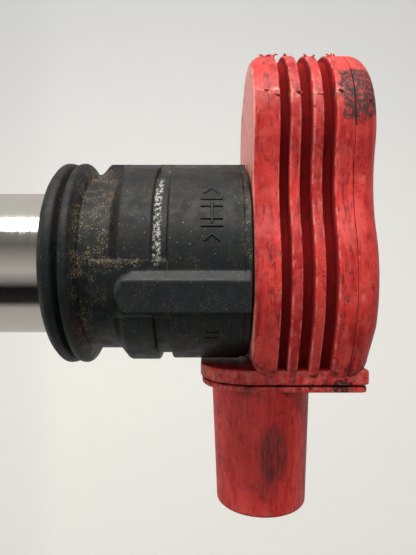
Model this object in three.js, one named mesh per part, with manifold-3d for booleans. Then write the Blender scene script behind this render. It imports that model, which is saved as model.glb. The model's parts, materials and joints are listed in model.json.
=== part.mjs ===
// Pencil-type ignition coil that sits on top of a spark plug.
// Units are millimetres. +Z runs along the stem towards the head, the origin is on the stem's
// axis at the root of the head, and the connector points along +X.

import * as THREE from 'three';
import { mergeVertices } from 'three/addons/utils/BufferGeometryUtils.js';
import Module from 'manifold-3d';

const wasm = await Module();
wasm.setup();

// Driving dimensions -------------------------------------------------------------------

const GAP = 0.3; // clearance between neighbouring pieces

// Head: a plan outline of three tangent arcs and a straight on each side, and its rib levels.
const LOBE = { x: -20.7, radius: 14.2 };
const SHOULDER = { x: 2.6, y: -6.6, radius: 22, xEnd: 12 };
const WAIST_RADIUS = 19;
const GROOVE_DEPTH = 2.8;
const HEAD_WALL = 1.8;
const RIB_END_X = 17.95;
const HEAD_UNDERSIDE = -0.5;
const HEAD_TOP = 18.3;
const FLOOR_TOP = 2.5;
const PARTING_Z = 14.25;
const RIB_LEVELS = [
  [HEAD_UNDERSIDE, 3.4],
  [4.9, 6.45],
  [8.2, 9.75],
  [11.6, PARTING_Z],
];
const TOP_EDGE = 3.0;

// Connector: the flange that the head carries, and the shroud set flat against it.
const FLANGE = { xLow: 16.75, xHigh: 19, halfY: 10.5, zLow: -8.4, zHigh: 17.8 };
const FLANGE_LOW_CORNER = 8.5;
const FLANGE_HIGH_CORNER = 1.2;
const SHROUD = { xRoot: 19.3, xLip: 20.2, xMouth: 39.6, z: 1.75, halfY: 10.4, halfZ: 8.2 };
const SHROUD_MOUTH = { halfY: 10.1, halfZ: 7.35 };
const SOCKET = { xFloor: 25, halfY: 8.5, halfZ: 5.7 };
const LATCH = { xBack: 29, xCrest: 30.5, xFront: 33.5, yRoot: 9.5, yFront: 10.5, yCrest: 12, halfWidth: 2.5 };
const PIN = { count: 4, pitch: 3.5, width: 1.5, thickness: 0.64, xInner: 11.8, xTip: 33.5, riserTop: 5.9 };

// Stem: nested tubes, from the outside in.
const SLEEVE_OUTER = { inner: 11.6, outer: 12.0 };
const SLEEVE_INNER = { inner: 10.7, outer: 11.3 };
const SLEEVE_Z = [-87, -14];
const SLIT = { width: 1.9, angle: 14.5 };
const SPIGOT_Z = -13.7;
const CASE = { inner: 9.6, outer: 10.4, zLow: -91, zHigh: 2.2 };
const PRIMARY = { winding: [8.7, 9.3], tube: [7.9, 8.4], z: [-84, -4] };
const SECONDARY = { winding: [6.3, 7.5], tube: [5.4, 6.0], z: [-82.3, -5.7] };
const BOBBIN_FLANGE = 1.7;
const CORE_RADIUS = 5;
const CORE_Z = [-78, -10];
const MAGNET_HEIGHT = 2.5;
const CUSHION_HEIGHT = 1.2;

// Seal: a silicone ring around the spigot and the top of the sleeve.
const SEAL_BORE = 12.3;
const SEAL = {
  lip: 17.1, groove: 15.8, neck: 14.6, lowerBand: 16.5, recess: 15.5, upperBand: 16.3,
  zLow: -31.4, zHigh: HEAD_UNDERSIDE - GAP,
};
const SEAL_RIDGE = { halfWidth: 2, neckX: [-15.3, -13.5], neckZLow: -27, bandX: [-17, -14], bandZLow: -20.5 };
const SEAL_PAD = { x: [0.1, 8], y: [-16.2, -13], z: [-24, -12.5] };
const SEAL_KEY = { outline: [[1.6, -16.2], [3.2, -17.8], [7.3, -17.8], [8.2, -14.2], [1.6, -15]], zLow: -20.3 };

// High-voltage end: tower, spring contact and boot.
const TOWER = {
  collar: 10.4, tube: 6.3, bore: 4.6, zShoulder: -94, zCone: -99, zLow: -113, zRoof: -92.7, insertTop: -86,
};
const TERMINAL = { radius: 4.2, stud: 1.2, zLow: -94.9, flangeTop: -93.3, zHigh: -84.8 };
const RESISTOR = { cap: 2.9, body: 2.5, zHigh: -95.2, capHeight: 1.6, length: 14.2 };
const CONTACT = { radius: 3.8, wall: 0.6, cupDepth: 1.2, height: 5.7, zHigh: -134.3 };
const SPRING = { radius: 2.9, wire: 0.35, turns: 9 };
const BOOT = {
  outer: 9.6, lip: 10.2, collar: 10.9, plugBore: 5.2, mouth: 6.2, zLow: -155, zHigh: -97,
  zContactFloor: -140.8, zPlugBoreTop: -141.4,
};

const MATERIALS = {
  redPlastic: { color: 0xb8322f, roughness: 0.45, metalness: 0 },
  blackSilicone: { color: 0x202327, roughness: 0.7, metalness: 0 },
  siliconSteel: { color: 0x9c9b94, roughness: 0.35, metalness: 1 },
  tinnedBrass: { color: 0xc9c2ae, roughness: 0.3, metalness: 1 },
  copper: { color: 0xa8562a, roughness: 0.35, metalness: 1 },
  blackPlastic: { color: 0x17181a, roughness: 0.5, metalness: 0 },
  epoxy: { color: 0x2b2622, roughness: 0.3, metalness: 0 },
  magnet: { color: 0x4a4c50, roughness: 0.5, metalness: 0.6 },
  ceramic: { color: 0xd8d2c4, roughness: 0.6, metalness: 0 },
  springSteel: { color: 0xb9bcc0, roughness: 0.25, metalness: 1 },
  aluminium: { color: 0xc4c6c8, roughness: 0.4, metalness: 1 },
};

const ignitionCoil = new THREE.Group();

function addPiece(name, material, geometry) {
  const mesh = new THREE.Mesh(geometry, new THREE.MeshStandardMaterial(MATERIALS[material]));
  mesh.name = name;
  ignitionCoil.add(mesh);
}

// Solids ---------------------------------------------------------------------------------

function toSolid(geometry) {
  const bare = geometry.clone();
  bare.deleteAttribute('normal');
  bare.deleteAttribute('uv');
  const merged = mergeVertices(bare, 1e-4);
  const vertProperties = new Float32Array(merged.attributes.position.array);
  const triVerts = new Uint32Array(merged.index.array);
  return new wasm.Manifold(new wasm.Mesh({ numProp: 3, vertProperties, triVerts }));
}

function toGeometry(solid) {
  const mesh = solid.getMesh();
  const geometry = new THREE.BufferGeometry();
  geometry.setAttribute('position', new THREE.BufferAttribute(mesh.vertProperties, 3));
  geometry.setIndex(new THREE.BufferAttribute(mesh.triVerts, 1));
  geometry.computeVertexNormals();
  return geometry;
}

function joined(...geometries) {
  return geometries.map(toSolid).reduce((whole, next) => whole.add(next));
}

function box(x, y, z) {
  const geometry = new THREE.BoxGeometry(x[1] - x[0], y[1] - y[0], z[1] - z[0]);
  return geometry.translate((x[0] + x[1]) / 2, (y[0] + y[1]) / 2, (z[0] + z[1]) / 2);
}

// Turns a closed outline of [radius, z] points, listed anticlockwise, about the stem axis.
function turned(outline, segments = 40) {
  const points = outline.map(([radius, z]) => new THREE.Vector2(radius, z));
  return new THREE.LatheGeometry(points, segments).rotateX(Math.PI / 2);
}

function disc(radius, zLow, zHigh, segments) {
  return turned([[0, zLow], [radius, zLow], [radius, zHigh], [0, zHigh]], segments);
}

function ring(inner, outer, zLow, zHigh, segments) {
  const outline = [[outer, zLow], [outer, zHigh], [inner, zHigh], [inner, zLow], [outer, zLow]];
  return turned(outline, segments);
}

function arc(x, y, radius, from, to, steps) {
  const point = (step) => {
    const angle = from + ((to - from) * step) / steps;
    return new THREE.Vector2(x + radius * Math.cos(angle), y + radius * Math.sin(angle));
  };
  return Array.from({ length: steps + 1 }, (_, step) => point(step));
}

function outlineOf(points) {
  return new THREE.Shape(points.map(([x, y]) => new THREE.Vector2(x, y)));
}

// Extrudes a shape upwards, with its top and bottom edges cut back by a round or a chamfer.
function slab(shape, zLow, zHigh, edge = 0, steps = 1) {
  const geometry = new THREE.ExtrudeGeometry(shape, {
    depth: zHigh - zLow - 2 * edge,
    bevelEnabled: edge > 0,
    bevelThickness: edge,
    bevelSize: edge,
    bevelOffset: -edge,
    bevelSegments: steps,
  });
  return geometry.translate(0, 0, zLow + edge);
}

// Extrudes a shape drawn in (Y, Z) along X.
function alongX(shape, xLow, xHigh) {
  const turn = new THREE.Matrix4().makeBasis(
    new THREE.Vector3(0, 1, 0), new THREE.Vector3(0, 0, 1), new THREE.Vector3(1, 0, 0),
  );
  return slab(shape, xLow, xHigh).applyMatrix4(turn);
}

// Head -----------------------------------------------------------------------------------

// Centre of the waist arc, which touches the lobe and the shoulder arcs from outside.
function waistCentre() {
  const toLobe = LOBE.radius + WAIST_RADIUS;
  const toShoulder = SHOULDER.radius + WAIST_RADIUS;
  const dx = SHOULDER.x - LOBE.x;
  const dy = SHOULDER.y;
  const apart = Math.hypot(dx, dy);
  const along = (toLobe ** 2 - toShoulder ** 2 + apart ** 2) / (2 * apart);
  const aside = Math.sqrt(toLobe ** 2 - along ** 2);
  return {
    x: LOBE.x + (along * dx - aside * dy) / apart,
    y: (along * dy + aside * dx) / apart,
  };
}

// The head's plan outline, moved inwards by inset and cut off at xEnd.
function headOutline(inset, xEnd) {
  const waist = waistCentre();
  const lobeAngle = Math.atan2(waist.y, waist.x - LOBE.x);
  const shoulderAngle = Math.atan2(waist.y - SHOULDER.y, waist.x - SHOULDER.x);
  const shoulderRadius = SHOULDER.radius - inset;
  const endAngle = Math.acos((SHOULDER.xEnd - SHOULDER.x) / SHOULDER.radius);
  const shoulder = arc(SHOULDER.x, SHOULDER.y, shoulderRadius, endAngle, shoulderAngle, 8);
  const endY = shoulder[0].y - (xEnd - shoulder[0].x) / Math.tan(endAngle);
  const side = [
    new THREE.Vector2(xEnd, endY),
    ...shoulder,
    ...arc(waist.x, waist.y, WAIST_RADIUS + inset, shoulderAngle - Math.PI, lobeAngle - Math.PI, 5).slice(1),
    ...arc(LOBE.x, 0, LOBE.radius - inset, lobeAngle, Math.PI, 9).slice(1),
  ];
  const mirrored = side.slice(0, -1).reverse().map((point) => new THREE.Vector2(point.x, -point.y));
  return new THREE.Shape([...side, ...mirrored]);
}

function flangePlate(inset, xLow, xHigh) {
  const y = FLANGE.halfY - inset;
  const zLow = FLANGE.zLow + inset;
  const zHigh = FLANGE.zHigh - inset;
  const low = FLANGE_LOW_CORNER;
  const high = FLANGE_HIGH_CORNER;
  const quarter = Math.PI / 2;
  const shape = new THREE.Shape([
    ...arc(y - low, zLow + low, low, -quarter, 0, 6),
    ...arc(y - high, zHigh - high, high, 0, quarter, 3),
    ...arc(high - y, zHigh - high, high, quarter, 2 * quarter, 3),
    ...arc(low - y, zLow + low, low, 2 * quarter, 3 * quarter, 6),
  ]);
  return alongX(shape, xLow, xHigh);
}

function pinPositions() {
  const first = (-(PIN.count - 1) * PIN.pitch) / 2;
  return Array.from({ length: PIN.count }, (_, index) => first + index * PIN.pitch);
}

function pinBlade(y, clearance, xLow, xHigh) {
  const halfWidth = PIN.width / 2 + clearance;
  const halfThickness = PIN.thickness / 2 + clearance;
  return box([xLow, xHigh], [y - halfWidth, y + halfWidth], [SHROUD.z - halfThickness, SHROUD.z + halfThickness]);
}

// The upturned inner end of a pin, which meets the busbars above the head's floor.
function pinRiser(y, clearance) {
  const halfWidth = PIN.width / 2 + clearance;
  const x = [PIN.xInner - clearance, PIN.xInner + PIN.thickness + clearance];
  return box(x, [y - halfWidth, y + halfWidth], [SHROUD.z, PIN.riserTop + clearance]);
}

function headHousing() {
  const ribs = RIB_LEVELS.map(([zLow, zHigh]) => slab(headOutline(0, RIB_END_X), zLow, zHigh, 0.4));
  const core = slab(headOutline(GROOVE_DEPTH, FLANGE.xLow + 1), HEAD_UNDERSIDE, PARTING_Z);
  const flange = flangePlate(0, FLANGE.xLow, FLANGE.xHigh);
  const spigot = disc(SLEEVE_OUTER.outer, SPIGOT_Z, 1);
  const cavityEnd = FLANGE.xLow - HEAD_WALL;
  const cavity = slab(headOutline(GROOVE_DEPTH + HEAD_WALL, cavityEnd), FLOOR_TOP, HEAD_TOP);
  const stemHole = disc(SLEEVE_INNER.inner, SPIGOT_Z - 1, FLOOR_TOP + 1);
  let housing = joined(core, ...ribs, flange, spigot).subtract(toSolid(cavity)).subtract(toSolid(stemHole));
  for (const y of pinPositions()) {
    housing = housing.subtract(toSolid(pinBlade(y, GAP, PIN.xInner - GAP, FLANGE.xHigh + 1)));
    housing = housing.subtract(toSolid(pinRiser(y, GAP)));
  }
  return toGeometry(housing);
}

function topCover() {
  const zLow = PARTING_Z + GAP;
  const rounded = slab(headOutline(0, FLANGE.xLow - GAP), zLow - TOP_EDGE, HEAD_TOP, TOP_EDGE, 4);
  const below = box([-50, 50], [-50, 50], [zLow - 10, zLow]);
  return toGeometry(toSolid(rounded).subtract(toSolid(below)));
}

// Connector ------------------------------------------------------------------------------

// An upright stadium in (Y, Z): round ends face -Y and +Y.
function stadium(halfY, halfZ, steps) {
  const flat = halfY - halfZ;
  const quarter = Math.PI / 2;
  return new THREE.Shape([
    ...arc(flat, 0, halfZ, -quarter, quarter, steps),
    ...arc(-flat, 0, halfZ, quarter, 3 * quarter, steps),
  ]);
}

// Scales a prism along X so that its mouth end has its own half width and half height.
function drafted(geometry) {
  const position = geometry.attributes.position;
  for (let index = 0; index < position.count; index += 1) {
    const t = (position.getX(index) - SHROUD.xRoot) / (SHROUD.xMouth - SHROUD.xRoot);
    const scaleY = THREE.MathUtils.lerp(1, SHROUD_MOUTH.halfY / SHROUD.halfY, t);
    const scaleZ = THREE.MathUtils.lerp(1, SHROUD_MOUTH.halfZ / SHROUD.halfZ, t);
    position.setY(index, position.getY(index) * scaleY);
    position.setZ(index, position.getZ(index) * scaleZ);
  }
  return geometry.translate(0, 0, SHROUD.z);
}

// The ramp that the harness plug's own latch snaps over, on the far side of the shroud.
function latchRamp() {
  const { xBack, xCrest, xFront, yRoot, yFront, yCrest, halfWidth } = LATCH;
  const ramp = outlineOf([[xBack, yRoot], [xFront, yRoot], [xFront, yFront], [xCrest, yCrest], [xBack, yCrest]]);
  return slab(ramp, SHROUD.z - halfWidth, SHROUD.z + halfWidth);
}

function connectorHousing() {
  const lip = flangePlate(0.3, SHROUD.xRoot, SHROUD.xLip);
  const shroud = drafted(alongX(stadium(SHROUD.halfY, SHROUD.halfZ, 12), SHROUD.xRoot, SHROUD.xMouth));
  const socket = alongX(stadium(SOCKET.halfY, SOCKET.halfZ, 10), SOCKET.xFloor, SHROUD.xMouth + 1);
  socket.translate(0, 0, SHROUD.z);
  let housing = joined(lip, shroud, latchRamp()).subtract(toSolid(socket));
  for (const y of pinPositions()) {
    housing = housing.subtract(toSolid(pinBlade(y, GAP, SHROUD.xRoot - 1, SOCKET.xFloor + 1)));
  }
  return toGeometry(housing);
}

// Stem -----------------------------------------------------------------------------------

// A steel sleeve slit along its whole length, so that it is not a shorted turn.
function slitSleeve({ inner, outer }) {
  const slitAngle = Math.PI + THREE.MathUtils.degToRad(SLIT.angle);
  const half = SLIT.width / 2 / outer;
  const from = slitAngle + half;
  const to = slitAngle + 2 * Math.PI - half;
  const shape = new THREE.Shape([
    ...arc(0, 0, outer, from, to, 44),
    ...arc(0, 0, inner, to, from, 44),
  ]);
  return slab(shape, ...SLEEVE_Z);
}

// The red tube inside the sleeves, with a rib that fills their slit and keeps them from turning.
function coilCase() {
  const tube = ring(CASE.inner, CASE.outer, CASE.zLow, CASE.zHigh, 36);
  const halfWidth = SLIT.width / 2 - GAP;
  const rib = box([-SLEEVE_OUTER.outer + 0.1, -CASE.inner - 0.2], [-halfWidth, halfWidth],
    [SLEEVE_Z[0] + GAP, SLEEVE_Z[1] - GAP]);
  rib.rotateZ(THREE.MathUtils.degToRad(SLIT.angle));
  return toGeometry(joined(tube, rib));
}

function bobbin({ winding, tube, z }) {
  const [zLow, zHigh] = z;
  const [inner, outer] = tube;
  const rim = winding[1];
  return turned([
    [inner, zLow], [rim, zLow], [rim, zLow + BOBBIN_FLANGE], [outer, zLow + BOBBIN_FLANGE],
    [outer, zHigh - BOBBIN_FLANGE], [rim, zHigh - BOBBIN_FLANGE], [rim, zHigh], [inner, zHigh], [inner, zLow],
  ], 28);
}

function windingOn({ winding, z }) {
  const margin = BOBBIN_FLANGE + GAP;
  return ring(winding[0], winding[1], z[0] + margin, z[1] - margin, 28);
}

function addStem() {
  addPiece('yoke_sleeve_outer', 'siliconSteel', slitSleeve(SLEEVE_OUTER));
  addPiece('yoke_sleeve_inner', 'siliconSteel', slitSleeve(SLEEVE_INNER));
  addPiece('coil_case', 'redPlastic', coilCase());
  addPiece('primary_winding', 'copper', windingOn(PRIMARY));
  addPiece('primary_bobbin', 'blackPlastic', bobbin(PRIMARY));
  addPiece('secondary_winding', 'copper', windingOn(SECONDARY));
  addPiece('secondary_bobbin', 'blackPlastic', bobbin(SECONDARY));
  addPiece('core_stack', 'siliconSteel', disc(CORE_RADIUS, ...CORE_Z, 20));
  const coreDisc = (zFrom, zTo) => disc(CORE_RADIUS, Math.min(zFrom, zTo), Math.max(zFrom, zTo), 20);
  for (const [end, z, away] of [['upper', CORE_Z[1], 1], ['lower', CORE_Z[0], -1]]) {
    const magnetEnd = z + away * (GAP + MAGNET_HEIGHT);
    const cushionEnd = magnetEnd + away * (GAP + CUSHION_HEIGHT);
    addPiece(`core_magnet_${end}`, 'magnet', coreDisc(z + away * GAP, magnetEnd));
    addPiece(`core_cushion_${end}`, 'blackSilicone', coreDisc(magnetEnd + away * GAP, cushionEnd));
  }
}

// Seal -----------------------------------------------------------------------------------

// A turned ring with a ridge along its -X side, and a raised key on a pad along its -Y side.
function stemSeal() {
  const body = turned([
    [SEAL_BORE, SEAL.zLow], [SEAL.lip - 0.9, SEAL.zLow], [SEAL.lip, -30.6], [SEAL.lip, -29.8],
    [SEAL.groove, -29], [SEAL.groove, -28.5], [SEAL.lip, -27.8], [SEAL.lip, -27.1], [SEAL.neck, -26.2],
    [SEAL.neck, -21.4], [SEAL.lowerBand, -19.8], [SEAL.lowerBand, -15.3], [SEAL.recess, -15.1],
    [SEAL.recess, -13.1], [SEAL.upperBand, -12.9], [SEAL.upperBand, SEAL.zHigh], [SEAL_BORE, SEAL.zHigh],
    [SEAL_BORE, SEAL.zLow],
  ], 56);
  const { halfWidth, neckX, neckZLow, bandX, bandZLow } = SEAL_RIDGE;
  const neckRidge = box(neckX, [-halfWidth, halfWidth], [neckZLow, SEAL.zHigh]);
  const bandRidge = box(bandX, [-halfWidth, halfWidth], [bandZLow, SEAL.zHigh]);
  const pad = box(SEAL_PAD.x, SEAL_PAD.y, SEAL_PAD.z);
  const key = slab(outlineOf(SEAL_KEY.outline), SEAL_KEY.zLow, SEAL.zHigh);
  const solid = joined(body, neckRidge, bandRidge, pad, key);
  const bore = disc(SEAL_BORE, SEAL.zLow - 1, 1, 56);
  return toGeometry(solid.subtract(toSolid(bore)));
}

// High-voltage end -------------------------------------------------------------------------

function hvTower() {
  const insert = CASE.inner - GAP;
  const { collar, tube, bore, zShoulder, zCone, zLow, zRoof, insertTop } = TOWER;
  const studHole = TERMINAL.stud + GAP;
  const collarTop = CASE.zLow - GAP;
  return turned([
    [bore, zLow], [tube, zLow], [tube, zCone], [collar, zShoulder], [collar, collarTop], [insert, collarTop],
    [insert, insertTop], [studHole, insertTop], [studHole, zRoof], [bore, zRoof], [bore, zLow],
  ], 28);
}

function hvTerminalCup() {
  const { radius, stud, zLow, flangeTop, zHigh } = TERMINAL;
  return turned([[0, zLow], [radius, zLow], [radius, flangeTop], [stud, flangeTop], [stud, zHigh],
    [0, zHigh]], 20);
}

// A compression spring of round wire, wound about the stem axis.
function springWire(zLow, zHigh) {
  const stepsPerTurn = 10;
  const count = SPRING.turns * stepsPerTurn;
  const points = Array.from({ length: count + 1 }, (_, step) => {
    const angle = (step / stepsPerTurn) * 2 * Math.PI;
    const z = THREE.MathUtils.lerp(zLow, zHigh, step / count);
    return new THREE.Vector3(SPRING.radius * Math.cos(angle), SPRING.radius * Math.sin(angle), z);
  });
  const wire = new THREE.Shape(arc(0, 0, SPRING.wire, 0, (2 * Math.PI * 5) / 6, 5));
  const path = new THREE.CatmullRomCurve3(points);
  return new THREE.ExtrudeGeometry(wire, { steps: count, extrudePath: path, bevelEnabled: false });
}

// A cup, closed at the end that meets the plug's terminal and open towards the spring.
function contactCap() {
  const { radius, wall, cupDepth, height, zHigh } = CONTACT;
  const zLow = zHigh - height;
  const floor = zHigh - cupDepth;
  return turned([[0, zLow], [radius, zLow], [radius, zHigh], [radius - wall, zHigh], [radius - wall, floor],
    [0, floor]], 20);
}

function plugBoot() {
  const { outer, lip, collar, plugBore, mouth, zLow, zHigh, zContactFloor, zPlugBoreTop } = BOOT;
  const towerBore = TOWER.tube + GAP;
  const towerEnd = TOWER.zLow - GAP;
  return turned([
    [mouth, zLow], [outer, zLow], [lip, zLow + 1.5], [lip, zLow + 4], [outer, zLow + 5.5],
    [outer, zHigh - 8], [collar, zHigh - 6], [collar, zHigh], [8.6, zHigh], [towerBore, TOWER.zCone - 0.6],
    [towerBore, towerEnd], [TOWER.bore, towerEnd], [TOWER.bore, zContactFloor], [plugBore, zPlugBoreTop],
    [plugBore, zLow + 2.5], [mouth, zLow],
  ], 32);
}

function addHighVoltageEnd() {
  const { cap, body, zHigh, capHeight, length } = RESISTOR;
  const zLow = zHigh - length;
  addPiece('hv_tower', 'blackPlastic', hvTower());
  addPiece('hv_terminal_cup', 'tinnedBrass', hvTerminalCup());
  addPiece('resistor_cap_upper', 'tinnedBrass', disc(cap, zHigh - capHeight, zHigh, 18));
  addPiece('suppressor_resistor', 'ceramic', disc(body, zLow + capHeight + GAP, zHigh - capHeight - GAP, 18));
  addPiece('resistor_cap_lower', 'tinnedBrass', disc(cap, zLow, zLow + capHeight, 18));
  addPiece('contact_spring', 'springSteel', springWire(CONTACT.zHigh - 0.5, zLow - GAP - SPRING.wire));
  addPiece('contact_cap', 'tinnedBrass', contactCap());
  addPiece('plug_boot', 'blackSilicone', plugBoot());
}

// Igniter, inside the head -------------------------------------------------------------------

// Each part of the igniter is a plain block, given by its ranges in X, Y and Z.
function addHeadContents() {
  const pottingOutline = headOutline(GROOVE_DEPTH + HEAD_WALL + GAP, FLANGE.xLow - HEAD_WALL - GAP);
  const potting = slab(pottingOutline, 12, PARTING_Z - 0.2);
  addPiece('igniter_heat_spreader', 'aluminium', box([-27, -11], [-6, 6], [2.8, 4.2]));
  addPiece('igniter_module', 'blackPlastic', box([-26.5, -13], [-5.5, 5.5], [4.5, 9.3]));
  addPiece('potting_layer', 'epoxy', potting);
  addPiece('battery_busbar', 'copper', box([-8.6, 11.5], [4.4, 6.4], [6.2, 7]));
  addPiece('ground_busbar', 'copper', box([-12.5, 11.5], [-6.4, -4.4], [6.2, 7]));
  addPiece('noise_capacitor', 'blackPlastic', box([2, 9], [-3.4, 3.4], [7.2, 11.4]));
  addPiece('turn_on_diode', 'blackPlastic', disc(1.6, 0, 7, 16).rotateY(Math.PI / 2).translate(-9, 0, 4.6));
  pinPositions().forEach((y, index) => {
    const pin = joined(pinBlade(y, 0, PIN.xInner, PIN.xTip), pinRiser(y, 0));
    addPiece(`terminal_pin_${index + 1}`, 'tinnedBrass', toGeometry(pin));
  });
}

addPiece('head_housing', 'redPlastic', headHousing());
addPiece('top_cover', 'redPlastic', topCover());
addPiece('connector_housing', 'redPlastic', connectorHousing());
addPiece('stem_seal', 'blackSilicone', stemSeal());
addHeadContents();
addStem();
addHighVoltageEnd();

export default ignitionCoil;
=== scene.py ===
"""Visual model of a pencil-type ignition coil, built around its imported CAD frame.

Lengths are written in millimetres and turned into metres by MM. +Z runs up the stem to the head,
+X points to the connector's mouth, and the side that the camera sees faces -Y.
"""

import json
import math

import bpy
from mathutils import Matrix, Vector, noise

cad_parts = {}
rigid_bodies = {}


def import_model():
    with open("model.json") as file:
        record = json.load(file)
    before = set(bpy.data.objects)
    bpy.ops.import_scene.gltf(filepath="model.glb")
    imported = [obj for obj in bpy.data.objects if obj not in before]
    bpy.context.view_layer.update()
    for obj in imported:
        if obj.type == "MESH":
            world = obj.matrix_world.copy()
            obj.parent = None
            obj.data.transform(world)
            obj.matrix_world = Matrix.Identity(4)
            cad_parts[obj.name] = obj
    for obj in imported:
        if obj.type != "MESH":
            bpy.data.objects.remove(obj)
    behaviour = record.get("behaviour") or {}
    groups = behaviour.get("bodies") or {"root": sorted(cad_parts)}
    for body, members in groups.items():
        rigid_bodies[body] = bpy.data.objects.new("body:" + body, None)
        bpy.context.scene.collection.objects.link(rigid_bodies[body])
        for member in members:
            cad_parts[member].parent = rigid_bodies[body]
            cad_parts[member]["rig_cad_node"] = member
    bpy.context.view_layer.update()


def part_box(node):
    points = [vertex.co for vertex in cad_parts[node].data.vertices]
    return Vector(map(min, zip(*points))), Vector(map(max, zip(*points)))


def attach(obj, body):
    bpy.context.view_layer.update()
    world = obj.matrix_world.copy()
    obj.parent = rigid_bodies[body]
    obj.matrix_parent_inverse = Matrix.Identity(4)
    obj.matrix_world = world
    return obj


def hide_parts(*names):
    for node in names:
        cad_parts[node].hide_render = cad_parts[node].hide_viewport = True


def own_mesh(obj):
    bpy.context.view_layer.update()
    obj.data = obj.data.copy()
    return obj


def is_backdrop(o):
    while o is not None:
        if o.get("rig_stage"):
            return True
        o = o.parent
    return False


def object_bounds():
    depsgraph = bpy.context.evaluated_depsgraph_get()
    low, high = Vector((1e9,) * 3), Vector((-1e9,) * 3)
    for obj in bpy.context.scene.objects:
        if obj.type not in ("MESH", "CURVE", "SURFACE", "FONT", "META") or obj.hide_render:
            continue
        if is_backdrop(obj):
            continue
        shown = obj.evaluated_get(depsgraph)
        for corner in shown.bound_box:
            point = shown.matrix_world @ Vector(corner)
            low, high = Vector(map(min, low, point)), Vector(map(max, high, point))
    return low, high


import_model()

MM = 0.001


def node_span(node):
    """Lowest and highest corner of a CAD node, in millimetres."""
    low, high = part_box(node)
    return Vector(low) / MM, Vector(high) / MM


HEAD_LOW, HEAD_HIGH = node_span("head_housing")
COVER_HIGH = node_span("top_cover")[1]
PLUG_LOW, PLUG_HIGH = node_span("connector_housing")
SLEEVE_LOW, SLEEVE_HIGH = node_span("yoke_sleeve_outer")
CASE_LOW, CASE_HIGH = node_span("coil_case")
BOOT_LOW, BOOT_HIGH = node_span("plug_boot")
TOWER_LOW, TOWER_HIGH = node_span("hv_tower")
CONTACT_LOW, CONTACT_HIGH = node_span("contact_cap")
SPRING_LOW, SPRING_HIGH = node_span("contact_spring")

# Head plan: three tangent arcs and a straight on each side, the same as the frame's.
LOBE_RADIUS = 14.2
LOBE_X = HEAD_LOW.x + LOBE_RADIUS
SHOULDER = (2.6, -6.6)
SHOULDER_RADIUS = 22.0
SHOULDER_END_X = 12.0
WAIST_RADIUS = 19.0

# Head, from the underside to the cover.
GROOVE_DEPTH = 2.8
GROOVE_FILLET = 0.3
RIB_END_X = 17.95
RIB_END_ROUND = 0.5
RIB_EDGE = 0.3
RIB_TIP_REACH = 2.0
RIB_END_FALL = 0.8
UNDERSIDE_INSET = 4.0
LOBE_UNDERCUT = 2.2
UNDERCUT_X = (-27, -34)
RIB_FOOT_X = (14.6, 17.4)
END_ROUND_REACH = 8.0
LOWER_END_ROUND = 3.4
COVER_END_ROUND = 5.0
COVER_SHOULDER = 3.0
PANEL_SINK = 0.12
PANEL_CROWN = 0.25
APEX_DEPTH_SHARE = 0.35
WALL_STEP = 0.42

# Heights of the ribs, from the underside up.
RIBS = [(-0.5, 3.4), (4.9, 6.45), (8.2, 9.75), (11.6, 14.25)]
UNDERSIDE_Z = RIBS[0][0]
PARTING_Z = RIBS[-1][1]
PARTING_EDGE = 0.06
PARTING_GAP = 0.1
PARTING_LEDGE = 1.6

# Flange and connector.
FLANGE_X = (16.75, HEAD_HIGH.x)
FLANGE_Z = (-8.4, 17.8)
FLANGE_HALF_Y = 10.5
FLANGE_CORNERS = (8.5, 1.2)
LIP_THICKNESS = 0.9
SEAM_X = 19.2
SHROUD_Z = 1.75
SHROUD_HALF = (10.4, 8.2)
SHROUD_DRAFT = (0.3, 0.85)
SHROUD_WALL = 1.65
SOCKET_FLOOR_X = 25.0
LATCH_X = (29.0, 30.5, 33.5)
LATCH_Y = (9.5, 12.0, 10.5)
LATCH_HALF_WIDTH = 2.5
LATCH_EDGE = 0.2
PIN_HALF_THICKNESS = 0.32

# Stem and high-voltage end; a sleeve has its inner and outer radius.
SLEEVES = {"yoke_sleeve_outer": (11.6, 12.0), "yoke_sleeve_inner": (10.7, 11.3)}
SLIT_WIDTH = 1.9
SLIT_ANGLE = math.radians(14.5)
SLIT_RIB_WIDTH = 1.3
CASE_INNER = 9.6
CASE_OUTER = 10.4
SPRING_TURNS = 9
SPRING_WIRE = 0.35

# Marks on the red plastic: a centre and the half sizes of an ellipsoid about it.
RIB_SCRAPE = ((-24.7, -13, 7), (1.3, 3.5, 14))
RIB_SMEAR = ((-24.7, -12.5, 15.2), (6.4, 9, 4.6))
# The connector's darker middle: painted shade and dirty patches.
PLUG_SHADE_AND_DIRT = ((27, -9, 0.6), (17, 10, 7.6))
PLUG_SMEAR = ((29.8, -9, 2.9), (6.6, 9, 3.4))
PLUG_SMEAR_END = ((35.2, -9, 2.0), (3.0, 9, 2.4))
SEAM_BLOB = ((19.2, -10.5, 13.3), (1.7, 4, 2.2))


# Mesh building

def skin(rings, looped):
    """Faces that join equal closed rings; the last ring meets the first, or both ends are capped."""
    size = len(rings[0])
    faces = []
    pairs = len(rings) if looped else len(rings) - 1
    for r in range(pairs):
        a, b = r * size, ((r + 1) % len(rings)) * size
        for i in range(size):
            j = (i + 1) % size
            faces.append((a + i, a + j, b + j, b + i))
    if not looped:
        faces.append(tuple(reversed(range(size))))
        faces.append(tuple(range((len(rings) - 1) * size, len(rings) * size)))
    return faces


def make_piece(name, rings, material, looped=False, sharp=32, replaces=(), body="coil", marks=None):
    """A closed mesh from rings of points in millimetres; marks maps an attribute to its ring values."""
    return make_pieces(name, [rings], material, looped, sharp, replaces, body, marks)


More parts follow.
